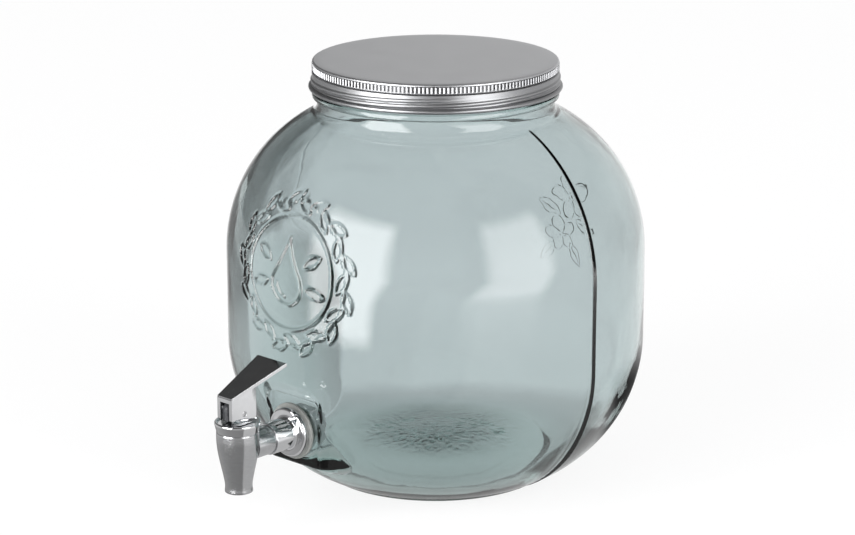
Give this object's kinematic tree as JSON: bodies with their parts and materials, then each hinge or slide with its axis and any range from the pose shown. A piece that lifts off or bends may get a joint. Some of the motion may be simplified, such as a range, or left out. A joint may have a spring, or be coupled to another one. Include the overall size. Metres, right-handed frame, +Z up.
{
  "type": "jar with tap",
  "caption": "Round-shouldered glass drink jar with a knurled aluminium screw lid and a chromed lever tap on a flat pad near its base.",
  "frame": {"origin": "on the jar's axis, on the plane of the ring that it stands on", "axes": "+Z up along the jar's axis, -Y out of the tap's side, +X to the right of someone facing the tap"},
  "size_m": [0.25, 0.3011, 0.25],
  "materials": {
    "glass": "clear, pale aqua",
    "lid_metal": "satin",
    "liner_foam": "foamed",
    "silicone": "translucent grey",
    "nut_plastic": "moulded",
    "tap_chrome": "polished",
    "stem_plastic": "moulded",
    "spring_steel": "drawn wire"
  },
  "bodies": {
    "jar": {"glass_jar": "glass", "outer_washer": "silicone", "inner_washer": "silicone", "shank_nut": "nut_plastic", "shank_tube": "tap_chrome", "arm_o_ring": "silicone", "spout_body": "tap_chrome", "bonnet": "tap_chrome"},
    "liner": {"lid_liner": "liner_foam"},
    "lid": {"lid_shell": "lid_metal"},
    "valve": {"stem": "stem_plastic", "seat_cup": "silicone", "spring": "spring_steel"},
    "lever": {"lever": "tap_chrome", "lever_pin": "spring_steel"}
  },
  "joints": [
    {"name": "lid_climb", "type": "slide", "parent": "jar", "child": "liner", "axis": [0, 0, 1], "range_m": [0, 0.027]},
    {"name": "lid_turn", "type": "hinge", "parent": "liner", "child": "lid", "pos_m": [0, 0, 0.25], "axis": [0, 0, 1], "range_deg": [0, 1080]},
    {"name": "valve_lift", "type": "slide", "parent": "jar", "child": "valve", "axis": [0, 0, 1], "range_m": [0, 0.004], "deforming": ["spring", "seat_cup"]},
    {"name": "lever_pull", "type": "hinge", "parent": "valve", "child": "lever", "pos_m": [0, -0.163, 0.0731], "axis": [1, 0, 0], "range_deg": [0, 70], "stiffness_Nm_per_rad": 0.05, "springref_deg": -22.92}
  ],
  "couplings": [
    {"joint": "lid_turn", "follows": "lid_climb", "rad_per_m": 698.13},
    {"joint": "lever_pull", "follows": "valve_lift", "rad_per_m": 305.43}
  ]
}
